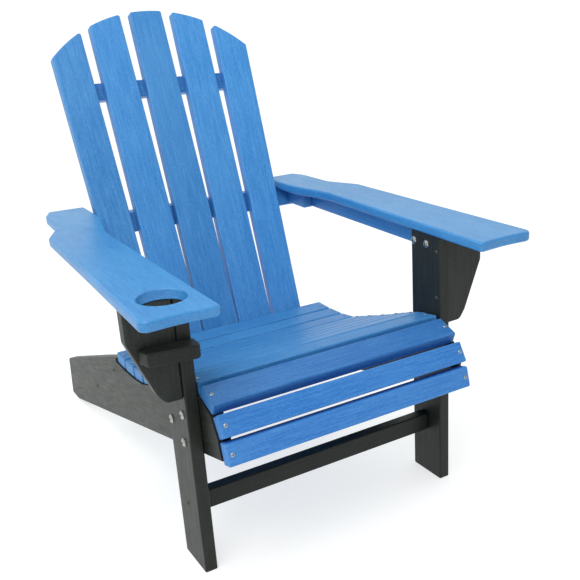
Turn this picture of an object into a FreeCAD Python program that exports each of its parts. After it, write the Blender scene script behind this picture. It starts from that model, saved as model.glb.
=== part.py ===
import FreeCAD, Part
import os
import Sketcher
from math import acos, atan2, cos, degrees, hypot, pi, radians, sin, sqrt, tan

from FreeCAD import Placement, Rotation, Vector

# Adirondack chair of plastic lumber, in millimetres.
# The front faces -Y and +Z is up. Lengths along the chair are measured from the front face of
# the front legs, and every Placement moves them back by CENTRE_Y, so that the origin lies on the
# floor under the middle of the whole chair.

PARAMS = {
    "board_thickness": 24.0,
    "arm_thickness": 19.0,
    "narrow_board": 38.0,
    "leg_width": 90.0,
    "leg_spacing": 516.0,
    "seat_length": 510.0,
    "slat_width": 48.0,
    "nose_slat_width": 50.0,
    "apron_width": 40.0,
    "arm_rail_height": 39.0,
    "lower_brace_height": 50.0,
    "rear_stretcher_height": 60.0,
    "upper_brace_length": 410.0,
    "middle_brace_length": 564.0,
    "cup_hole_diameter": 79.0,
    "edge_round": 3.0,
    "arm_edge_round": 5.0,
    "slat_corner": 4.5,
    "bolt_shank": 8.0,
    "bolt_head": 16.0,
    "bolt_head_height": 4.5,
    "screw_shank": 4.0,
    "screw_head": 8.0,
    "screw_head_height": 2.0,
    "hole_clearance": 0.1,
    "nut_width": 13.0,
    "nut_height": 6.5,
}

BOARD = PARAMS["board_thickness"]
LEG_INNER = PARAMS["leg_spacing"] / 2
LEG_OUTER = LEG_INNER + BOARD
STRINGER_INNER = LEG_INNER - BOARD
LEG_WIDTH = PARAMS["leg_width"]
ARM_FRONT_Y = -126.0
FOOT_REAR_Y = 943.0
CENTRE_Y = (ARM_FRONT_Y + FOOT_REAR_Y) / 2

# The arms rise a little towards the back; this is the line of their underside.
ARM_PITCH = 0.8
ARM_UNDERSIDE_Z = 529.0

# The back leans by this angle, and its front face crosses the seat level here.
BACK_LEAN = 20.2
BACK_FOOT = (481.4, 264.0)
BACK_BOTTOM = -70.0
BACK_APEX = 739.5
BACK_ARC_RADIUS = 336.0
BACK_REFERENCE = 700.0

# The underside of the side stringers is one straight cut that falls to the rear foot.
STRINGER_UNDER_Z = 237.4
STRINGER_FALL = 0.2674

# Seat slats from the back to the front: the tilt of each one, rising forwards.
SEAT_REAR = (466.0, 274.0)
SEAT_GAP = 5.4
SEAT_TILTS = (-1.5, 2.0, 7.0, 18.5, 17.5, 18.5, 20.0, 17.0, 7.5)

# Nose and apron slats: the upper corner of the outer face, the tilt, and the width's name.
FRONT_SLATS = (
    (-7.0, 369.5, -20.5, "nose_slat_width"),
    (-66.0, 339.0, -59.0, "apron_width"),
    (-88.0, 294.5, -75.5, "apron_width"),
)

BOLT_LEG_POINTS = ((77.0, 283.0), (20.0, 313.0), (28.0, 257.0))
BOLT_RAIL_POINTS = ((41.0, 508.5), (80.0, 508.5))
GUSSET_FRONT_Y = 4.0
GUSSET_REAR_Y = GUSSET_FRONT_Y + BOARD
GUSSET_SCREW_Z = (405.0, 499.0)
SHELF_TOP_Z = 454.0
STRETCHER_FRONT_Y = 40.0
STRETCHER_BOTTOM_Z = 103.0
REAR_STRETCHER = (669.0, 120.0)
UPPER_BRACE_S = 554.5
LOWER_BRACE_S = -60.0
CUP_CENTRE = (-311.2, -35.8)

SCREW_LENGTH = 44.0
ARM_SCREW_LENGTH = 50.0
BOLT_LENGTH = 2 * BOARD + PARAMS["nut_height"] + 2.0

doc = FreeCAD.newDocument("AdirondackChair")
sheet = doc.addObject("Spreadsheet::Sheet", "Params")
for row, (alias, value) in enumerate(PARAMS.items(), start=1):
    sheet.set(f"A{row}", alias)
    sheet.set(f"B{row}", str(value))
    sheet.setAlias(f"B{row}", alias)
doc.recompute()

nodes = []


def at(x, y, z, rotation=None):
    """Placement of a point given from the front face of the legs."""
    return Placement(Vector(x, y - CENTRE_Y, z), rotation or Rotation())


def arm_underside(y):
    return ARM_UNDERSIDE_Z + y * tan(radians(ARM_PITCH))


def slat_direction(tilt):
    return Vector(0, -cos(radians(tilt)), sin(radians(tilt)))


def slat_inward(tilt):
    return Vector(0, -sin(radians(tilt)), -cos(radians(tilt)))


def seat_layout():
    """Name, upper rear corner, tilt and width name of every seat and apron slat."""
    layout = []
    corner = Vector(0, *SEAT_REAR)
    for index, tilt in enumerate(SEAT_TILTS):
        layout.append((f"seat_slat_{index + 1}", corner, tilt, "slat_width"))
        turn = tilt
        if index + 1 < len(SEAT_TILTS):
            turn = (tilt + SEAT_TILTS[index + 1]) / 2
        corner = corner + slat_direction(tilt) * PARAMS["slat_width"]
        corner = corner + slat_direction(turn) * SEAT_GAP
    for index, (y, z, tilt, width) in enumerate(FRONT_SLATS):
        layout.append((f"front_slat_{index + 1}", Vector(0, y, z), tilt, width))
    return layout


SEAT = seat_layout()


def slat_bed():
    """Points of the stringer's upper edge, one facet under each slat, back to front."""
    points = []
    for name, corner, tilt, width in SEAT:
        under = corner + slat_inward(tilt) * BOARD
        end = under + slat_direction(tilt) * PARAMS[width]
        points.append((under.y, under.z))
        points.append((end.y, end.z))
    return points


def new_body(label):
    body = doc.addObject("PartDesign::Body", label)
    body.Label = label
    return body


def new_sketch(body, role, name):
    sketch = body.newObject("Sketcher::SketchObject", name)
    plane = next(f for f in body.Origin.OriginFeatures if f.Role == role)
    sketch.AttachmentSupport = (plane, [""])
    sketch.MapMode = "FlatFace"
    return sketch


def corner_arc(before, corner, after, radius):
    """Tangent points and arc that round one corner of an outline."""
    a = (before - corner).normalize()
    b = (after - corner).normalize()
    half = acos(max(-1.0, min(1.0, a.dot(b)))) / 2
    reach = radius / tan(half)
    start = corner + a * reach
    end = corner + b * reach
    centre = corner + (a + b).normalize() * (radius / sin(half))
    first = atan2(start.y - centre.y, start.x - centre.x)
    last = atan2(end.y - centre.y, end.x - centre.x)
    if (last - first) % (2 * pi) > pi:
        first, last = last, first
    circle = Part.Circle(centre, Vector(0, 0, 1), radius)
    return start, end, Part.ArcOfCircle(circle, first, first + (last - first) % (2 * pi))


def draw_outline(sketch, corners):
    """Closed outline through (x, y, corner radius), straight between the corners."""
    points = [Vector(c[0], c[1], 0) for c in corners]
    radii = [c[2] if len(c) > 2 else 0.0 for c in corners]
    ends = []
    for i, point in enumerate(points):
        if radii[i] > 0:
            before = points[i - 1]
            after = points[(i + 1) % len(points)]
            start, end, arc = corner_arc(before, point, after, radii[i])
            sketch.addGeometry(arc, False)
            ends.append((start, end))
        else:
            ends.append((point, point))
    for i in range(len(points)):
        tail = ends[i][1]
        head = ends[(i + 1) % len(points)][0]
        if (head - tail).Length > 1e-6:
            sketch.addGeometry(Part.LineSegment(tail, head), False)


def add_pad(body, sketch, length, backwards=False, midplane=False):
    pad = body.newObject("PartDesign::Pad", body.Label + "_pad")
    pad.Profile = sketch
    pad.setExpression("Length", length)
    pad.Reversed = backwards
    pad.Midplane = midplane
    sketch.Visibility = False
    doc.recompute()
    return pad


def add_fillet(body, feature, wanted, radius, name):
    names = [f"Edge{i + 1}" for i, e in enumerate(feature.Shape.Edges) if wanted(e)]
    fillet = body.newObject("PartDesign::Fillet", f"{body.Label}_{name}")
    fillet.Base = (feature, names)
    fillet.setExpression("Radius", radius)
    doc.recompute()
    return fillet


def every_edge(edge):
    return True


def profile_board(label, role, corners, length, place, midplane=False, wanted=every_edge):
    """Board cut to an outline and given its thickness, with its edges eased."""
    body = new_body(label)
    sketch = new_sketch(body, role, label + "_outline")
    draw_outline(sketch, corners)
    pad = add_pad(body, sketch, length, midplane=midplane)
    add_fillet(body, pad, wanted, "Params.edge_round", "eased")
    body.Placement = place
    doc.recompute()
    return body


def rectangle(low_x, low_y, high_x, high_y):
    return ((low_x, low_y), (high_x, low_y), (high_x, high_y), (low_x, high_y))


def drill(label, base, holes):
    """The board with its screw and bolt holes; each hole is (start, direction, length, alias)."""
    tools = []
    for index, (start, direction, length, alias) in enumerate(holes):
        tool = doc.addObject("Part::Cylinder", f"{label}_hole_{index + 1}")
        tool.setExpression("Radius", f"Params.{alias} / 2 + Params.hole_clearance / 2")
        tool.Height = length
        tool.Placement = at(*start, Rotation(Vector(0, 0, 1), Vector(*direction)))
        tools.append(tool)
    bundle = doc.addObject("Part::Compound", label + "_holes")
    bundle.Links = tools
    drilled = doc.addObject("Part::Cut", label + "_drilled")
    drilled.Base = base
    drilled.Tool = bundle
    drilled.Label = label
    base.Label = label + "_blank"
    doc.recompute()
    return drilled


def keep(label, part):
    part.Label = label
    nodes.append((label, part))


def fastener(name, head, head_height, shank, length, socket):
    """One domed fastener: its seat is at z = 0 and its shank runs down to z = -length."""
    body = new_body(name)
    sketch = new_sketch(body, "XZ_Plane", name + "_section")
    rim = head_height * 0.35
    radius = head / 2
    crown = Part.Arc(Vector(0, head_height, 0), Vector(radius * 0.62, head_height * 0.84, 0),
                     Vector(radius, rim, 0))
    tip = length - shank * 0.5
    path = ((radius, rim), (radius, 0), (shank / 2, 0), (shank / 2, -tip), (shank / 4, -length),
            (0, -length), (0, head_height))
    sketch.addGeometry(crown, False)
    for a, b in zip(path, path[1:]):
        sketch.addGeometry(Part.LineSegment(Vector(*a, 0), Vector(*b, 0)), False)
    turned = body.newObject("PartDesign::Revolution", name + "_turned")
    turned.Profile = sketch
    turned.ReferenceAxis = (sketch, ["V_Axis"])
    turned.Angle = 360.0
    doc.recompute()
    drive = new_sketch(body, "XY_Plane", name + "_socket_outline")
    reach = socket / 2 / cos(radians(30))
    hexagon = [(reach * cos(radians(60 * i)), reach * sin(radians(60 * i))) for i in range(6)]
    draw_outline(drive, hexagon)
    above = 1.0
    drive.AttachmentOffset = Placement(Vector(0, 0, head_height + above), Rotation())
    recess = body.newObject("PartDesign::Pocket", name + "_socket")
    recess.Profile = drive
    recess.Length = head_height * 0.8 + above
    doc.recompute()
    return body


def nut(name):
    """Hexagon nut that stands on z = 0, bored for the bolt."""
    body = new_body(name)
    sketch = new_sketch(body, "XY_Plane", name + "_outline")
    reach = PARAMS["nut_width"] / 2 / cos(radians(30))
    hexagon = [(reach * cos(radians(60 * i)), reach * sin(radians(60 * i))) for i in range(6)]
    draw_outline(sketch, hexagon)
    bore = (PARAMS["bolt_shank"] + PARAMS["hole_clearance"]) / 2
    sketch.addGeometry(Part.Circle(Vector(0, 0, 0), Vector(0, 0, 1), bore), False)
    pad = add_pad(body, sketch, "Params.nut_height")
    outer = lambda e: e.Length > 5.0 and isinstance(e.Curve, Part.Line)
    chamfer = body.newObject("PartDesign::Chamfer", name + "_chamfer")
    chamfer.Base = (pad, [f"Edge{i + 1}" for i, e in enumerate(pad.Shape.Edges)
                          if outer(e) and abs(e.CenterOfMass.z - PARAMS["nut_height"]) < 0.1])
    chamfer.Size = 0.6
    doc.recompute()
    return body


def scatter(label, master, spots):
    """Group of separate copies of one fastener, each with its head out along a direction."""
    copies = []
    for point, outward in spots:
        copy = master.Shape.copy()
        copy.Placement = at(*point, Rotation(Vector(0, 0, 1), Vector(*outward)))
        copies.append(copy)
    group = doc.addObject("Part::Feature", label)
    group.Shape = Part.makeCompound(copies)
    keep(label, group)


# Fastener masters
BOLT = fastener("bolt_master", PARAMS["bolt_head"], PARAMS["bolt_head_height"],
                PARAMS["bolt_shank"], BOLT_LENGTH, 5.0)
SCREW = fastener("screw_master", PARAMS["screw_head"], PARAMS["screw_head_height"],
                 PARAMS["screw_shank"], SCREW_LENGTH, 2.5)
ARM_SCREW = fastener("arm_screw_master", PARAMS["screw_head"], PARAMS["screw_head_height"],
                     PARAMS["screw_shank"], ARM_SCREW_LENGTH, 2.5)
NUT = nut("nut_master")


def along_x(side, x, y, z, alias, length):
    """Hole that starts outside and runs inwards along X on one side of the chair."""
    return ((side * (x + 1.0), y, z), (-side, 0, 0), length, alias)


# Seat and apron slats, screwed down to the stringers near both ends
slat_screws = []
stringer_holes = {-1: [], 1: []}
screw_x = (LEG_INNER + STRINGER_INNER) / 2
for name, corner, tilt, width_name in SEAT:
    width = PARAMS[width_name]
    body = new_body(name)
    sketch = new_sketch(body, "XY_Plane", name + "_outline")
    half = PARAMS["seat_length"] / 2
    draw_outline(sketch, rectangle(-half, -width, half, 0))
    pad = add_pad(body, sketch, "Params.board_thickness", backwards=True)
    add_fillet(body, pad, every_edge, "Params.edge_round", "eased")
    turn = Rotation(Vector(1, 0, 0), -tilt)
    body.Placement = at(corner.x, corner.y, corner.z, turn)
    middle = corner + slat_direction(tilt) * (width / 2)
    inward = slat_inward(tilt)
    holes = []
    for side in (-1, 1):
        seat = Vector(side * screw_x, middle.y, middle.z)
        start = seat - inward
        hole = (tuple(start), tuple(inward), SCREW_LENGTH + 1.5, "screw_shank")
        holes.append(hole)
        stringer_holes[side].append(hole)
        slat_screws.append((tuple(seat), tuple(-inward)))
    keep(name, drill(name, body, holes))

# Front legs, with holes for the bolts, the gusset screws and the stretcher screw
leg_corners = ((0, 0), (LEG_WIDTH, 0), (LEG_WIDTH, arm_underside(LEG_WIDTH)),
               (0, arm_underside(0)))
stretcher_point = (STRETCHER_FRONT_Y + BOARD / 2,
                   STRETCHER_BOTTOM_Z + PARAMS["narrow_board"] / 2)
gusset_middle = (GUSSET_FRONT_Y + GUSSET_REAR_Y) / 2 - 6.0
SIDES = ((-1, "left"), (1, "right"))
leg_bolts = []
leg_nuts = []
rail_bolts = []
rail_nuts = []
gusset_screws = []
frame_screws = []
for side, word in SIDES:
    label = "front_leg_" + word
    start_x = -LEG_OUTER if side < 0 else LEG_INNER
    body = profile_board(label, "YZ_Plane", leg_corners, "Params.board_thickness",
                         at(start_x, 0, 0))
    holes = [along_x(side, LEG_OUTER, y, z, "bolt_shank", BOARD + 2)
             for y, z in BOLT_LEG_POINTS + BOLT_RAIL_POINTS]
    holes.append(along_x(side, LEG_OUTER, *stretcher_point, "screw_shank", BOARD + 2))
    for z in GUSSET_SCREW_Z:
        holes.append(along_x(side, LEG_OUTER, gusset_middle, z, "screw_shank", BOARD + 2))
        gusset_screws.append(((side * LEG_INNER, gusset_middle, z), (-side, 0, 0)))
    for y, z in BOLT_LEG_POINTS:
        leg_bolts.append(((side * LEG_OUTER, y, z), (side, 0, 0)))
        leg_nuts.append(((side * STRINGER_INNER, y, z), (-side, 0, 0)))
    for y, z in BOLT_RAIL_POINTS:
        rail_bolts.append(((side * LEG_INNER, y, z), (-side, 0, 0)))
        rail_nuts.append(((side * (LEG_OUTER + BOARD), y, z), (side, 0, 0)))
    frame_screws.append(((side * LEG_OUTER, *stretcher_point), (side, 0, 0)))
    keep(label, drill(label, body, holes))

# Front stretcher between the legs
half_span = LEG_INNER
body = profile_board(
    "front_stretcher", "YZ_Plane",
    rectangle(STRETCHER_FRONT_Y, STRETCHER_BOTTOM_Z, STRETCHER_FRONT_Y + BOARD,
              STRETCHER_BOTTOM_Z + PARAMS["narrow_board"]),
    "Params.leg_spacing", at(-half_span, 0, 0))
holes = [along_x(side, half_span, *stretcher_point, "screw_shank", 24.0) for side in (-1, 1)]
keep("front_stretcher", drill("front_stretcher", body, holes))

# Hidden rear stretcher between the stringers
low = REAR_STRETCHER[1] - PARAMS["rear_stretcher_height"] / 2
body = profile_board(
    "rear_stretcher", "YZ_Plane",
    rectangle(REAR_STRETCHER[0] - BOARD / 2, low, REAR_STRETCHER[0] + BOARD / 2,
              low + PARAMS["rear_stretcher_height"]),
    "Params.leg_spacing - 2 * Params.board_thickness", at(-STRINGER_INNER, 0, 0))
holes = [along_x(side, STRINGER_INNER, *REAR_STRETCHER, "screw_shank", 24.0)
         for side in (-1, 1)]
keep("rear_stretcher", drill("rear_stretcher", body, holes))

# Frame of the leaning back: x across, s up the slope, depth towards the rear
BACK_TURN = Rotation(Vector(1, 0, 0), 90 - BACK_LEAN)
BACK_PLACE = at(0, BACK_FOOT[0], BACK_FOOT[1], BACK_TURN)
BACK_OUT = BACK_TURN.multVec(Vector(0, 0, 1))


def back_point(x, s, depth):
    """A point of the back, as lengths from the legs' front face."""
    point = BACK_PLACE.multVec(Vector(x, s, -depth))
    return (point.x, point.y + CENTRE_Y, point.z)


# Side stringers: straight underside, flat foot, and a bed with a facet for each slat
bed = slat_bed()
lowest_front = bed[-1]
face_top = bed[-2]
slope = (lowest_front[0] - face_top[0]) / (lowest_front[1] - face_top[1])
nose_z = (STRINGER_UNDER_Z - STRINGER_FALL * (face_top[0] - slope * face_top[1])) \
    / (1 + STRINGER_FALL * slope)
nose_y = face_top[0] + slope * (nose_z - face_top[1])
foot_front = STRINGER_UNDER_Z / STRINGER_FALL
stringer_corners = [(nose_y, nose_z), (foot_front, 0, 12.0), (FOOT_REAR_Y, 0, 4.0),
                    (923.0, 106.0, 12.0), (598.0, 219.5), (510.0, 249.0, 60.0),
                    (468.5, 260.0, 5.0), (468.5, bed[0][1])]
stringer_corners += bed[:-1]
lower_middle = back_point(0, LOWER_BRACE_S + PARAMS["lower_brace_height"] / 2, BOARD * 1.5)
brace_point = (lower_middle[1], lower_middle[2])


def stringer_rim(edge):
    """Edges of the two wide faces along the underside, the foot and the rear."""
    middle = edge.CenterOfMass
    flat = edge.BoundBox.XLength < 0.01
    under = middle.z < STRINGER_UNDER_Z - STRINGER_FALL * middle.y + 3.0
    return flat and (under or middle.y > 472.0)


for side, word in SIDES:
    label = "side_stringer_" + word
    start_x = -LEG_INNER if side < 0 else STRINGER_INNER
    body = new_body(label)
    sketch = new_sketch(body, "YZ_Plane", label + "_outline")
    draw_outline(sketch, stringer_corners)
    pad = add_pad(body, sketch, "Params.board_thickness")
    add_fillet(body, pad, stringer_rim, "Params.edge_round", "eased")
    body.Placement = at(start_x, 0, 0)
    doc.recompute()
    holes = [along_x(side, LEG_INNER, y, z, "bolt_shank", BOARD + 2)
             for y, z in BOLT_LEG_POINTS]
    for y, z in (brace_point, REAR_STRETCHER):
        holes.append(along_x(side, LEG_INNER, y, z, "screw_shank", BOARD + 2))
        frame_screws.append(((side * LEG_INNER, y, z), (side, 0, 0)))
    keep(label, drill(label, body, holes + stringer_holes[side]))

# Back slats: tapering boards that fan out under one arc. Each row gives the left and the right
# edge at the seat, then at the reference height.
BACK_SLATS = (
    (-211.3, -139.0, -232.7, -157.5),
    (-130.5, -46.3, -134.3, -60.8),
    (-44.0, 44.0, -37.1, 37.1),
    (46.3, 130.5, 60.8, 134.3),
    (139.0, 211.3, 157.5, 232.7),
)


def fan_edge(foot_x, reference_x, s):
    return foot_x + (reference_x - foot_x) * s / BACK_REFERENCE


def arc_height(x):
    return BACK_APEX - BACK_ARC_RADIUS + sqrt(BACK_ARC_RADIUS ** 2 - x ** 2)


def meet_arc(foot_x, reference_x):
    s = BACK_REFERENCE
    for _ in range(20):
        s = arc_height(fan_edge(foot_x, reference_x, s))
    return (fan_edge(foot_x, reference_x, s), s)


def flat_corner(edge):
    """Edges that run through the thickness at the top of a slat."""
    return edge.BoundBox.ZLength > BOARD - 0.1 and edge.CenterOfMass.y > 500.0


def face_rim(edge):
    return edge.BoundBox.ZLength < 0.01


# Braces behind the slats: name, lowest s, height, and length
BACK_BRACES = (
    ("upper_back_brace", UPPER_BRACE_S, "narrow_board", "Params.upper_brace_length"),
    ("lower_back_brace", LOWER_BRACE_S, "lower_brace_height",
     "Params.leg_spacing - 2 * Params.board_thickness"),
)
middle_low_z = 494.0
brace_front_y = back_point(0, 0, BOARD)[1] - back_point(0, 0, BOARD)[2] * tan(radians(BACK_LEAN))


def brace_front(z):
    """Where the rear face of the back slats is at a height."""
    return brace_front_y + z * tan(radians(BACK_LEAN))


brace_rows = [UPPER_BRACE_S + PARAMS["narrow_board"] / 2,
              LOWER_BRACE_S + PARAMS["lower_brace_height"] / 2]
middle_s = (514.0 - back_point(0, 0, BOARD)[2]) / cos(radians(BACK_LEAN))
brace_rows.append(middle_s)
back_screws = []
brace_holes = {row: [] for row in brace_rows}
outwards = tuple(-BACK_OUT)
inwards = tuple(BACK_OUT)
for index, (left_foot, right_foot, left_ref, right_ref) in enumerate(BACK_SLATS):
    label = f"back_slat_{index + 1}"
    body = new_body(label)
    sketch = new_sketch(body, "XY_Plane", label + "_outline")
    low_left = Vector(fan_edge(left_foot, left_ref, BACK_BOTTOM), BACK_BOTTOM, 0)
    low_right = Vector(fan_edge(right_foot, right_ref, BACK_BOTTOM), BACK_BOTTOM, 0)
    top_left = Vector(*meet_arc(left_foot, left_ref), 0)
    top_right = Vector(*meet_arc(right_foot, right_ref), 0)
    middle_x = (top_left.x + top_right.x) / 2
    for a, b in ((top_left, low_left), (low_left, low_right), (low_right, top_right)):
        sketch.addGeometry(Part.LineSegment(a, b), False)
    sketch.addGeometry(Part.Arc(top_right, Vector(middle_x, arc_height(middle_x), 0), top_left),
                       False)
    pad = add_pad(body, sketch, "Params.board_thickness", backwards=True)
    rounded = add_fillet(body, pad, flat_corner, "Params.slat_corner", "corners")
    add_fillet(body, rounded, face_rim, "Params.edge_round", "eased")
    body.Placement = BACK_PLACE
    doc.recompute()
    holes = []
    for row in brace_rows:
        centre_x = (fan_edge(left_foot, left_ref, row) + fan_edge(right_foot, right_ref, row)) / 2
        for step in (-22.0, 22.0):
            start = back_point(centre_x + step, row, 2 * BOARD + 1.0)
            hole = (start, inwards, SCREW_LENGTH + 1.5, "screw_shank")
            holes.append(hole)
            brace_holes[row].append(hole)
            back_screws.append((back_point(centre_x + step, row, 2 * BOARD), outwards))
    keep(label, drill(label, body, holes))

for (label, low_s, height, length), row in zip(BACK_BRACES, brace_rows):
    body = new_body(label)
    sketch = new_sketch(body, "YZ_Plane", label + "_outline")
    draw_outline(sketch, rectangle(low_s, -2 * BOARD, low_s + PARAMS[height], -BOARD))
    pad = add_pad(body, sketch, length, midplane=True)
    add_fillet(body, pad, every_edge, "Params.edge_round", "eased")
    body.Placement = BACK_PLACE
    doc.recompute()
    holes = list(brace_holes[row])
    if label == "lower_back_brace":
        for side in (-1, 1):
            holes.append(along_x(side, STRINGER_INNER, *brace_point, "screw_shank", 24.0))
    keep(label, drill(label, body, holes))

# Middle brace at arm height: bevelled to the lean of the back, with the arms on its top edge
front_low = brace_front(middle_low_z)
front_high = brace_front(arm_underside(607.5))
depth = BOARD / cos(radians(BACK_LEAN))
body = profile_board(
    "middle_back_brace", "YZ_Plane",
    ((front_low, middle_low_z), (front_low + depth, middle_low_z),
     (front_high + depth, arm_underside(front_high + depth)),
     (front_high, arm_underside(front_high))),
    "Params.middle_brace_length", at(0, 0, 0), midplane=True)
keep("middle_back_brace", drill("middle_back_brace", body, brace_holes[middle_s]))

# Armrests: the board sweeps in towards the back, and its edges are rounded over
ARM_CORNERS = (
    (252.5, -126.0, 9.0), (317.0, -120.0, 300.0), (379.0, -125.0, 15.0), (370.0, 150.0, 900.0),
    (362.0, 433.0, 26.0), (325.0, 511.0, 26.0), (321.0, 618.0, 60.0), (305.0, 654.0, 6.0),
    (228.0, 650.0, 6.0), (227.0, 530.0, 130.0), (256.5, 400.0, 130.0),
)


def arm_rim(edge):
    """Rims of the board's two wide faces, but not those of the cup hole."""
    circle = isinstance(edge.Curve, Part.Circle)
    hole = circle and abs(edge.Curve.Radius - PARAMS["cup_hole_diameter"] / 2) < 0.01
    return edge.BoundBox.ZLength < 0.01 and not hole


def cup_rim(edge):
    circle = isinstance(edge.Curve, Part.Circle)
    return circle and abs(edge.Curve.Radius - PARAMS["cup_hole_diameter"] / 2) < 0.01


arm_screw_y = (180.0, 330.0)
arm_screws = []
arm_turn = Rotation(Vector(1, 0, 0), ARM_PITCH)
arm_up = arm_turn.multVec(Vector(0, 0, 1))
rail_middle_x = LEG_OUTER + BOARD / 2
cleat_middle_x = (LEG_INNER + LEG_OUTER) / 2
for side, word in SIDES:
    label = "armrest_" + word
    body = new_body(label)
    sketch = new_sketch(body, "XY_Plane", label + "_outline")
    draw_outline(sketch, [(side * x, y, r) for x, y, r in ARM_CORNERS])
    if side < 0:
        hole = Part.Circle(Vector(*CUP_CENTRE, 0), Vector(0, 0, 1), 1.0)
        index = sketch.addGeometry(hole, False)
        size = Sketcher.Constraint("Diameter", index, PARAMS["cup_hole_diameter"])
        sketch.addConstraint(size)
        sketch.renameConstraint(0, "cup")
        sketch.setExpression("Constraints.cup", "Params.cup_hole_diameter")
    pad = add_pad(body, sketch, "Params.arm_thickness")
    rounded = add_fillet(body, pad, arm_rim, "Params.arm_edge_round", "round_over")
    if side < 0:
        add_fillet(body, rounded, cup_rim, "Params.edge_round", "cup_rim")
    body.Placement = at(0, 0, ARM_UNDERSIDE_Z, arm_turn)
    doc.recompute()
    spots = [(side * rail_middle_x, y) for y in arm_screw_y] + [(side * cleat_middle_x, 560.0)]
    holes = []
    for x, y in spots:
        under = Vector(x, y, arm_underside(y)) - arm_up * PARAMS["arm_rail_height"]
        start = under - arm_up
        holes.append((tuple(start), tuple(arm_up), ARM_SCREW_LENGTH + 1.5, "screw_shank"))
        arm_screws.append((tuple(under), tuple(-arm_up)))
    keep(label, drill(label, body, holes))

    # Rail on edge under the arm, from the gusset back along the cleat
    height = PARAMS["arm_rail_height"]
    rail_end = 560.0
    rail = profile_board(
        "arm_rail_" + word, "YZ_Plane",
        ((GUSSET_REAR_Y, arm_underside(GUSSET_REAR_Y) - height),
         (rail_end, arm_underside(rail_end) - height),
         (rail_end, arm_underside(rail_end)),
         (GUSSET_REAR_Y, arm_underside(GUSSET_REAR_Y))),
        "Params.board_thickness",
        at(-LEG_OUTER - BOARD if side < 0 else LEG_OUTER, 0, 0))
    rail_holes = [along_x(side, LEG_OUTER + BOARD, y, z, "bolt_shank", BOARD + 2)
                  for y, z in BOLT_RAIL_POINTS]
    keep("arm_rail_" + word, drill("arm_rail_" + word, rail, rail_holes + holes[:2]))

    # Short cleat inside the rail, against the brace
    cleat_front = 519.0
    cleat_high = brace_front(arm_underside(607.5))
    cleat_low = brace_front(arm_underside(593.5) - height)
    cleat = profile_board(
        "arm_cleat_" + word, "YZ_Plane",
        ((cleat_front, arm_underside(cleat_front) - height),
         (cleat_low, arm_underside(cleat_low) - height),
         (cleat_high, arm_underside(cleat_high)),
         (cleat_front, arm_underside(cleat_front))),
        "Params.board_thickness",
        at(-LEG_OUTER if side < 0 else LEG_INNER, 0, 0))
    keep("arm_cleat_" + word, drill("arm_cleat_" + word, cleat, holes[2:]))

# Gussets across the outer faces of the legs, each screwed from inside the leg
gusset_top = arm_underside(GUSSET_FRONT_Y)
GUSSET_CORNERS = ((LEG_OUTER, 349.0), (313.0, 349.5, 14.0), (326.0, 368.0, 20.0),
                  (366.0, 466.0, 16.0), (366.0, gusset_top), (LEG_OUTER, gusset_top))
shelf_screw_x = (-335.0, -297.0)
shelf_screw_z = SHELF_TOP_Z - BOARD / 2
shelf_screws = [((x, GUSSET_REAR_Y, shelf_screw_z), (0, 1, 0)) for x in shelf_screw_x]
shelf_holes = [((x, GUSSET_REAR_Y + 1, shelf_screw_z), (0, -1, 0), SCREW_LENGTH + 1.5,
                "screw_shank") for x in shelf_screw_x]
for side, word in SIDES:
    label = "arm_gusset_" + word
    body = profile_board(label, "XZ_Plane", [(side * c[0], *c[1:]) for c in GUSSET_CORNERS],
                         "Params.board_thickness", at(0, GUSSET_REAR_Y, 0))
    holes = [((side * (LEG_INNER - 1), gusset_middle, z), (side, 0, 0), SCREW_LENGTH + 1.5,
              "screw_shank") for z in GUSSET_SCREW_Z]
    keep(label, drill(label, body, holes + (shelf_holes if side < 0 else [])))

# Cup shelf in front of the left gusset and leg, under the hole in the arm
SHELF_CORNERS = ((-349.0, GUSSET_FRONT_Y), (-341.5, -20.5, 4.0), (-254.0, -36.5, 12.0),
                 (-254.0, 0.0), (-LEG_OUTER - 0.5, 0.0), (-LEG_OUTER - 0.5, GUSSET_FRONT_Y))


def shelf_front(edge):
    """Edges of the shelf that stand clear of the leg and the gusset."""
    return edge.CenterOfMass.y < -3.0


body = profile_board("cup_shelf", "XY_Plane", SHELF_CORNERS, "Params.board_thickness",
                     at(0, 0, SHELF_TOP_Z - BOARD), wanted=shelf_front)
keep("cup_shelf", drill("cup_shelf", body, shelf_holes))

# Fasteners, grouped by kind and place
scatter("leg_bolts", BOLT, leg_bolts)
scatter("leg_bolt_nuts", NUT, leg_nuts)
scatter("rail_bolts", BOLT, rail_bolts)
scatter("rail_bolt_nuts", NUT, rail_nuts)
scatter("gusset_screws", SCREW, gusset_screws)
scatter("shelf_screws", SCREW, shelf_screws)
scatter("seat_screws", SCREW, slat_screws)
scatter("frame_screws", SCREW, frame_screws)
scatter("back_screws", SCREW, back_screws)
scatter("arm_screws", ARM_SCREW, arm_screws)

doc.recompute()
for thing in doc.Objects:
    bad = [word for word in thing.State if word in ("Invalid", "Error")]
    if bad:
        raise RuntimeError(f"{thing.Label}: {bad}")
for label, part in nodes:
    if part.Shape.isNull() or not part.Shape.isValid():
        raise RuntimeError(f"{label}: the shape is not valid")

os.makedirs("parts", exist_ok=True)
for label, part in nodes:
    part.Shape.exportStep(f"parts/{label}.step")
print(len(nodes), "parts written")
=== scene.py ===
"""Adirondack chair of plastic lumber: materials, floor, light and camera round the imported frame."""
import math

import bpy
from mathutils import Matrix, Vector

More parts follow.
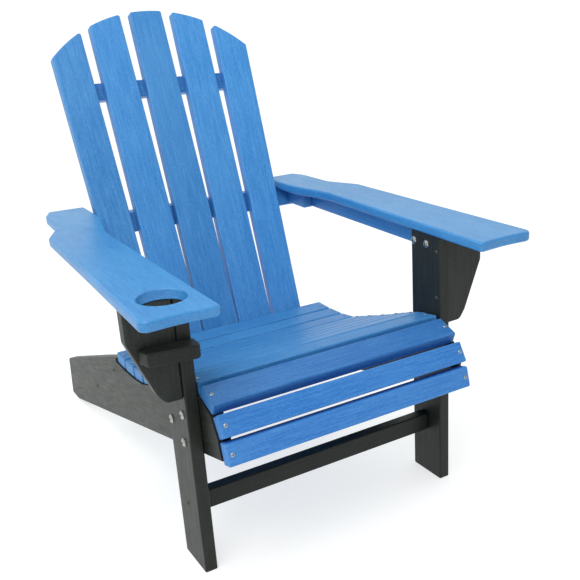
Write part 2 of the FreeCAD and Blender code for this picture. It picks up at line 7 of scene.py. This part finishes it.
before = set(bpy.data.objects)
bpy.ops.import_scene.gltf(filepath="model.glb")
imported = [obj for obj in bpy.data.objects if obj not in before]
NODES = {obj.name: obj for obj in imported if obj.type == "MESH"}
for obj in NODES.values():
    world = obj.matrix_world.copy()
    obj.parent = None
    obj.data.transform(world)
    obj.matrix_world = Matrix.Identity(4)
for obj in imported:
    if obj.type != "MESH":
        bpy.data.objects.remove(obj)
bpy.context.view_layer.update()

# --------------------------------------------------------------------------------------
# Camera: metres in the chair's frame, angles in degrees, focal length in millimetres
# --------------------------------------------------------------------------------------
CAMERA_AT = Vector((-0.71463, -1.62498, 0.95382))
CAMERA_YAW = 31.516
CAMERA_PITCH = 20.964
CAMERA_ROLL = -2.715
CAMERA_LENS = 52.062
CAMERA_SENSOR = 36.0
CAMERA_SHIFT = (-0.0895, 0.0600)


def make_camera():
    """The camera at the viewing angle, turned right by yaw, down by pitch and then rolled."""
    yaw, pitch, roll = (math.radians(a) for a in (CAMERA_YAW, CAMERA_PITCH, CAMERA_ROLL))
    ahead = Vector((math.sin(yaw), math.cos(yaw), 0.0))
    right = Vector((math.cos(yaw), -math.sin(yaw), 0.0))
    up = Vector((0.0, 0.0, 1.0))
    forward = ahead * math.cos(pitch) - up * math.sin(pitch)
    upward = ahead * math.sin(pitch) + up * math.cos(pitch)
    side = right * math.cos(roll) + upward * math.sin(roll)
    top = upward * math.cos(roll) - right * math.sin(roll)
    data = bpy.data.cameras.new("camera")
    data.lens = CAMERA_LENS
    data.sensor_width = CAMERA_SENSOR
    data.shift_x, data.shift_y = CAMERA_SHIFT
    data.dof.use_dof = False
    data.clip_start = 0.05
    data.clip_end = 200.0
    camera = bpy.data.objects.new("camera", data)
    bpy.context.scene.collection.objects.link(camera)
    turned = Matrix((side, top, -forward)).transposed().to_4x4()
    camera.matrix_world = Matrix.Translation(CAMERA_AT) @ turned
    bpy.context.scene.camera = camera


# --------------------------------------------------------------------------------------
# Node helpers
# --------------------------------------------------------------------------------------
class Nodes:
    """Builds a material's node tree: each method adds one node and returns its output."""

    def __init__(self, name):
        self.material = bpy.data.materials.new(name)
        self.material.use_nodes = True
        self.tree = self.material.node_tree
        self.tree.nodes.clear()
        self.shader = self.tree.nodes.new("ShaderNodeBsdfPrincipled")
        output = self.tree.nodes.new("ShaderNodeOutputMaterial")
        self.tree.links.new(self.shader.outputs["BSDF"], output.inputs["Surface"])

    def feed(self, socket, value):
        """Links a socket to an output, or sets its value."""
        if isinstance(value, bpy.types.NodeSocket):
            self.tree.links.new(value, socket)
        else:
            socket.default_value = value

    def place(self, turn, offset):
        """Object coordinates turned to a board's own axes, with the grain along X."""
        coordinates = self.tree.nodes.new("ShaderNodeTexCoord")
        mapping = self.tree.nodes.new("ShaderNodeMapping")
        mapping.vector_type = "TEXTURE"
        mapping.inputs["Rotation"].default_value = turn
        mapping.inputs["Location"].default_value = offset
        self.tree.links.new(coordinates.outputs["Object"], mapping.inputs["Vector"])
        return mapping.outputs["Vector"]

    def stretch(self, vector, scale):
        node = self.tree.nodes.new("ShaderNodeVectorMath")
        node.operation = "MULTIPLY"
        self.feed(node.inputs[0], vector)
        node.inputs[1].default_value = scale
        return node.outputs["Vector"]

    def shifted(self, vector, by):
        node = self.tree.nodes.new("ShaderNodeVectorMath")
        node.operation = "ADD"
        self.feed(node.inputs[0], vector)
        self.feed(node.inputs[1], by)
        return node.outputs["Vector"]

    def noise(self, vector, detail=3.0, roughness=0.55, output="Fac"):
        node = self.tree.nodes.new("ShaderNodeTexNoise")
        self.feed(node.inputs["Vector"], vector)
        node.inputs["Scale"].default_value = 1.0
        node.inputs["Detail"].default_value = detail
        node.inputs["Roughness"].default_value = roughness
        return node.outputs[output]

    def cells(self, vector):
        node = self.tree.nodes.new("ShaderNodeTexVoronoi")
        self.feed(node.inputs["Vector"], vector)
        node.inputs["Scale"].default_value = 1.0
        return node.outputs["Distance"]

    def math(self, operation, first, second):
        node = self.tree.nodes.new("ShaderNodeMath")
        node.operation = operation
        self.feed(node.inputs[0], first)
        self.feed(node.inputs[1], second)
        return node.outputs["Value"]

    def rescale(self, value, low, high, to_low=0.0, to_high=1.0, smooth=False):
        node = self.tree.nodes.new("ShaderNodeMapRange")
        node.interpolation_type = "SMOOTHSTEP" if smooth else "LINEAR"
        self.feed(node.inputs["Value"], value)
        node.inputs["From Min"].default_value = low
        node.inputs["From Max"].default_value = high
        node.inputs["To Min"].default_value = to_low
        node.inputs["To Max"].default_value = to_high
        return node.outputs["Result"]

    def mix(self, factor, first, second):
        node = self.tree.nodes.new("ShaderNodeMix")
        node.data_type = "RGBA"
        self.feed(node.inputs[0], factor)
        for socket, value in ((node.inputs[6], first), (node.inputs[7], second)):
            linked = isinstance(value, bpy.types.NodeSocket)
            self.feed(socket, value if linked else (*value, 1.0))
        return node.outputs[2]

    def bump(self, height, distance, strength=1.0, normal=None):
        node = self.tree.nodes.new("ShaderNodeBump")
        node.inputs["Strength"].default_value = strength
        node.inputs["Distance"].default_value = distance
        self.feed(node.inputs["Height"], height)
        if normal is not None:
            self.feed(node.inputs["Normal"], normal)
        return node.outputs["Normal"]

    def edge(self, radius):
        """1 on a rounded edge or corner and 0 on a flat face."""
        bevel = self.tree.nodes.new("ShaderNodeBevel")
        bevel.samples = 6
        bevel.inputs["Radius"].default_value = radius
        geometry = self.tree.nodes.new("ShaderNodeNewGeometry")
        dot = self.tree.nodes.new("ShaderNodeVectorMath")
        dot.operation = "DOT_PRODUCT"
        self.feed(dot.inputs[0], bevel.outputs["Normal"])
        self.feed(dot.inputs[1], geometry.outputs["True Normal"])
        return self.rescale(dot.outputs["Value"], 1.0, 0.93, smooth=True)


# --------------------------------------------------------------------------------------
# Plastic lumber
# --------------------------------------------------------------------------------------
BLUE = dict(body=(0.038, 0.228, 0.570), deep=(0.024, 0.165, 0.460), pale=(0.100, 0.320, 0.660),
            roughness=0.36, ior=1.47)
ARM_BLUE = dict(BLUE, body=(0.030, 0.236, 0.585), pale=(0.068, 0.322, 0.675), ior=1.52)
BACK_BLUE = dict(BLUE, roughness=0.40, ior=1.42)
SEAT_BLUE = dict(BLUE, roughness=0.42, ior=1.36)
# The front slats: a deeper, bluer copy of the blue, painted shade for the shade that falls on the
# front-facing slats.
FRONT_BLUE_PAINTED_SHADE = dict(BLUE, body=(0.036, 0.205, 0.610), deep=(0.020, 0.150, 0.500),
                  pale=(0.090, 0.300, 0.690), roughness=0.42, ior=1.36)
CHARCOAL = dict(body=(0.0100, 0.0120, 0.0102), deep=(0.006, 0.0078, 0.0064),
                pale=(0.026, 0.0295, 0.0262), roughness=0.42, ior=1.33)


def lumber(name, colour, turn, seed, painted_brightness):
    """Foamed polyethylene lumber: brushed long grain, faint mottling and worn paler edges."""
    nodes = Nodes(name)
    board = nodes.place(turn, (seed * 1.37, seed * 0.71, seed * 2.13))
    drift = nodes.noise(nodes.stretch(board, (5.0, 14.0, 14.0)), 2.0, output="Color")
    wandering = nodes.shifted(board, nodes.stretch(drift, (0.0, 0.006, 0.006)))
    streaks = nodes.noise(nodes.stretch(wandering, (14.0, 300.0, 300.0)), 4.0, 0.62)
    threads = nodes.noise(nodes.stretch(wandering, (45.0, 1150.0, 1150.0)), 3.0, 0.6)
    mottle = nodes.noise(nodes.stretch(board, (22.0, 60.0, 60.0)), 3.0, 0.6)
    specks = nodes.noise(nodes.stretch(board, (170.0, 430.0, 430.0)), 2.0, 0.6)
    clouds = nodes.noise(nodes.stretch(board, (4.0, 9.0, 9.0)), 2.0, 0.5)
    pores = nodes.cells(nodes.stretch(wandering, (260.0, 900.0, 900.0)))
    edge = nodes.edge(0.004)

    # Each board's colours are scaled by its factor of painted light and shade.
    body, deep, pale = (tuple(c * painted_brightness for c in colour[key])
                        for key in ("body", "deep", "pale"))
    tone = nodes.mix(nodes.rescale(streaks, 0.38, 0.70), deep, pale)
    tone = nodes.mix(0.45, tone, body)
    tone = nodes.mix(nodes.rescale(mottle, 0.35, 0.75, 0.0, 0.28), tone, deep)
    tone = nodes.mix(nodes.rescale(threads, 0.55, 0.80, 0.0, 0.30), tone, pale)
    tone = nodes.mix(nodes.rescale(clouds, 0.40, 0.70, 0.0, 0.30), tone, pale)
    tone = nodes.mix(nodes.rescale(specks, 0.52, 0.70, 0.0, 0.42), tone, pale)
    tone = nodes.mix(nodes.rescale(specks, 0.46, 0.30, 0.0, 0.38), tone, deep)
    rubbed = nodes.math("MULTIPLY", edge, nodes.rescale(streaks, 0.30, 0.65, 0.15, 0.60))
    tone = nodes.mix(rubbed, tone, pale)
    nodes.feed(nodes.shader.inputs["Base Color"], tone)

    smooth, rough = colour["roughness"] - 0.05, colour["roughness"] + 0.07
    matte = nodes.rescale(streaks, 0.3, 0.7, smooth, rough)
    matte = nodes.math("ADD", matte, nodes.rescale(mottle, 0.3, 0.7, -0.03, 0.04))
    nodes.feed(nodes.shader.inputs["Roughness"], matte)

    grain = nodes.bump(streaks, 0.0009, 0.6)
    grain = nodes.bump(threads, 0.00028, 0.5, grain)
    pits = nodes.rescale(pores, 0.0, 0.22, 0.0, 1.0)
    grain = nodes.bump(pits, 0.00012, 0.35, grain)
    nodes.feed(nodes.shader.inputs["Normal"], grain)
    nodes.shader.inputs["IOR"].default_value = colour["ior"]
    return nodes.material


def steel(name, seed, colour, roughness):
    """Stainless fastener: fine turned scratches, random duller stains and slightly brighter rims."""
    nodes = Nodes(name)
    spot = nodes.place((0.0, 0.0, 0.0), (seed, seed * 0.3, 0.0))
    scratches = nodes.noise(nodes.stretch(spot, (600.0, 2600.0, 2600.0)), 3.0, 0.6)
    stains = nodes.noise(nodes.stretch(spot, (350.0, 350.0, 350.0)), 3.0, 0.6)
    edge = nodes.edge(0.0006)
    dull = tuple(c * 0.72 for c in colour)
    bright = tuple(min(1.0, c * 1.18) for c in colour)
    tone = nodes.mix(nodes.rescale(stains, 0.40, 0.72), colour, dull)
    tone = nodes.mix(nodes.math("MULTIPLY", edge, 0.5), tone, bright)
    nodes.feed(nodes.shader.inputs["Base Color"], tone)
    nodes.shader.inputs["Metallic"].default_value = 1.0
    nodes.feed(nodes.shader.inputs["Roughness"],
               nodes.rescale(scratches, 0.3, 0.7, roughness - 0.06, roughness + 0.12))
    nodes.feed(nodes.shader.inputs["Normal"], nodes.bump(scratches, 0.00006, 0.5))
    return nodes.material


# --------------------------------------------------------------------------------------
# Grain directions: how each board's own X axis is turned from the chair's X axis
# --------------------------------------------------------------------------------------
ACROSS = (0.0, 0.0, 0.0)
ALONG = (0.0, 0.0, math.radians(90.0))
UPRIGHT = (0.0, math.radians(-90.0), 0.0)
BACK_LEAN = math.radians(20.2)
STRINGER_FALL = math.radians(-14.97)
FAN = (-1.6, -0.75, 0.0, 0.75, 1.6)


def leaning(fan_degrees):
    """The turn of a back slat: up the leaning back, fanned out to its side."""
    lean = Matrix.Rotation(-BACK_LEAN, 3, "X")
    fan = Matrix.Rotation(math.radians(fan_degrees), 3, "Y")
    upright = Matrix.Rotation(math.radians(-90.0), 3, "Y")
    return tuple((lean @ fan @ upright).to_euler("XYZ"))


def falling():
    """The turn of a side stringer: back along Y, and down to the rear foot."""
    fall = Matrix.Rotation(STRINGER_FALL, 3, "X")
    back = Matrix.Rotation(math.radians(90.0), 3, "Z")
    return tuple((fall @ back).to_euler("XYZ"))


# Each back slat lighter or darker as the light falls on it: painted light and shade.
BACK_PAINTED_LIGHT_AND_SHADE = (0.98, 1.08, 1.0, 1.12, 1.16)
# The seat slats a little darker, each by its own amount: painted shade.
SEAT_PAINTED_SHADE = (0.95, 0.96, 0.92, 0.95, 0.90, 0.92, 0.90, 0.92, 0.88)
# The front slats darker still: painted shade, the first slat darkest.
FRONT_PAINTED_SHADE = (0.74, 0.93, 0.96)


def lumber_plan():
    """For each board: node, colour, grain turn, painted light and shade factor."""
    plan = []
    for i, (fan, painted_brightness) in enumerate(zip(FAN, BACK_PAINTED_LIGHT_AND_SHADE)):
        plan.append((f"back_slat_{i + 1}", BACK_BLUE, leaning(fan), painted_brightness))
    for i, painted_brightness in enumerate(SEAT_PAINTED_SHADE):
        plan.append((f"seat_slat_{i + 1}", SEAT_BLUE, ACROSS, painted_brightness))
    for i, painted_brightness in enumerate(FRONT_PAINTED_SHADE):
        plan.append((f"front_slat_{i + 1}", FRONT_BLUE_PAINTED_SHADE, ACROSS, painted_brightness))
    # The factors below are painted light and shade as well: the gussets lighter, the arms and the
    # other blue boards a little darker.
    for brace in ("upper_back_brace", "middle_back_brace", "lower_back_brace"):
        plan.append((brace, BLUE, ACROSS, 0.97))
    for side in ("left", "right"):
        plan.append((f"armrest_{side}", ARM_BLUE, ALONG, 0.93))
        plan.append((f"arm_rail_{side}", BLUE, ALONG, 0.96))
        plan.append((f"arm_cleat_{side}", BLUE, ALONG, 0.95))
        plan.append((f"front_leg_{side}", CHARCOAL, UPRIGHT, 1.0))
        plan.append((f"arm_gusset_{side}", CHARCOAL, UPRIGHT, 1.5))
        plan.append((f"side_stringer_{side}", CHARCOAL, falling(), 1.0))
    plan.append(("front_stretcher", CHARCOAL, ACROSS, 1.0))
    plan.append(("rear_stretcher", CHARCOAL, ACROSS, 0.98))
    plan.append(("cup_shelf", CHARCOAL, ALONG, 0.96))
    return plan


STEEL_NODES = ("arm_screws", "back_screws", "frame_screws", "gusset_screws", "leg_bolt_nuts",
               "leg_bolts", "rail_bolt_nuts", "rail_bolts", "seat_screws", "shelf_screws")
BOLT_STEEL = ((0.42, 0.42, 0.41), 0.25)
SLAT_STEEL = ((0.38, 0.43, 0.49), 0.42)
DULL_STEEL = ((0.15, 0.14, 0.12), 0.45)
STEEL_LOOKS = {"seat_screws": SLAT_STEEL, "back_screws": SLAT_STEEL,
               "gusset_screws": DULL_STEEL, "frame_screws": DULL_STEEL}


def dress(node, material):
    mesh = NODES[node].data
    mesh.materials.clear()
    mesh.materials.append(material)


def make_materials():
    for seed, (node, colour, turn, painted_brightness) in enumerate(lumber_plan()):
        dress(node, lumber(f"{node}_lumber", colour, turn, 3.0 + seed, painted_brightness))
    for seed, node in enumerate(STEEL_NODES):
        colour, roughness = STEEL_LOOKS.get(node, BOLT_STEEL)
        dress(node, steel(f"{node}_steel", 1.0 + seed, colour, roughness))


# --------------------------------------------------------------------------------------
# Floor and light
# --------------------------------------------------------------------------------------
FLOOR_REACH = 40.0
FLOOR_TONES = ((0.42, 0.42, 0.42), (0.45, 0.45, 0.45))
FLOOR_GLOW = 0.68


def make_floor():
    """A plain pale floor with the faintest speckle."""
    mesh = bpy.data.meshes.new("floor")
    r = FLOOR_REACH
    mesh.from_pydata([(-r, -r, 0), (r, -r, 0), (r, r, 0), (-r, r, 0)], [], [(0, 1, 2, 3)])
    floor = bpy.data.objects.new("floor", mesh)
    bpy.context.scene.collection.objects.link(floor)
    nodes = Nodes("floor_paint")
    spot = nodes.place((0.0, 0.0, 0.0), (0.0, 0.0, 0.0))
    speckle = nodes.noise(nodes.stretch(spot, (3.0, 3.0, 3.0)), 3.0)
    nodes.feed(nodes.shader.inputs["Base Color"],
               nodes.mix(speckle, *FLOOR_TONES))
    nodes.shader.inputs["Roughness"].default_value = 0.9
    nodes.shader.inputs["Specular IOR Level"].default_value = 0.1
    nodes.shader.inputs["Emission Color"].default_value = (1.0, 1.0, 1.0, 1.0)
    nodes.shader.inputs["Emission Strength"].default_value = FLOOR_GLOW
    mesh.materials.append(nodes.material)


# The studio's light, and the range along Y where it rises from the front to the backdrop
BACKDROP_LIGHT = 1.08
FRONT_LIGHT = 0.40
LIGHT_RISE = (-0.7, 0.2)
STUDIO_TINT = (0.96, 1.02, 0.95)


def make_world():
    """A white studio, brighter behind the chair than in front. The backdrop itself is white."""
    world = bpy.data.worlds.new("studio")
    world.use_nodes = True
    tree = world.node_tree
    background = tree.nodes["Background"]
    coordinates = tree.nodes.new("ShaderNodeTexCoord")
    split = tree.nodes.new("ShaderNodeSeparateXYZ")
    tree.links.new(coordinates.outputs["Generated"], split.inputs["Vector"])
    ramp = tree.nodes.new("ShaderNodeMapRange")
    ramp.interpolation_type = "SMOOTHSTEP"
    tree.links.new(split.outputs["Y"], ramp.inputs["Value"])
    ramp.inputs["From Min"].default_value, ramp.inputs["From Max"].default_value = LIGHT_RISE
    ramp.inputs["To Min"].default_value = FRONT_LIGHT
    ramp.inputs["To Max"].default_value = BACKDROP_LIGHT
    path = tree.nodes.new("ShaderNodeLightPath")
    seen = tree.nodes.new("ShaderNodeMath")
    seen.operation = "MAXIMUM"
    tree.links.new(ramp.outputs["Result"], seen.inputs[0])
    tree.links.new(path.outputs["Is Camera Ray"], seen.inputs[1])
    tree.links.new(seen.outputs["Value"], background.inputs["Strength"])
    tint = tree.nodes.new("ShaderNodeMix")
    tint.data_type = "RGBA"
    tree.links.new(path.outputs["Is Camera Ray"], tint.inputs[0])
    tint.inputs[6].default_value = (*STUDIO_TINT, 1.0)
    tint.inputs[7].default_value = (1.0, 1.0, 1.0, 1.0)
    tree.links.new(tint.outputs[2], background.inputs["Color"])
    bpy.context.scene.world = world


def softbox(name, at, aim, size, power):
    data = bpy.data.lights.new(name, "AREA")
    data.shape = "RECTANGLE"
    data.size, data.size_y = size
    data.energy = power
    light = bpy.data.objects.new(name, data)
    bpy.context.scene.collection.objects.link(light)
    light.location = at
    direction = Vector(aim) - Vector(at)
    light.rotation_euler = direction.to_track_quat("-Z", "Y").to_euler()


# Key light: where it hangs, what it points at, its size in metres and its power in watts
KEY_AT = (-1.0, -1.3, 2.5)
KEY_AIM = (0.0, 0.1, 0.6)
KEY_SIZE = (1.6, 1.6)
KEY_POWER = 42.0


make_camera()
make_materials()
make_floor()
make_world()
softbox("key", KEY_AT, KEY_AIM, KEY_SIZE, KEY_POWER)
bpy.context.scene.view_settings.view_transform = "Standard"
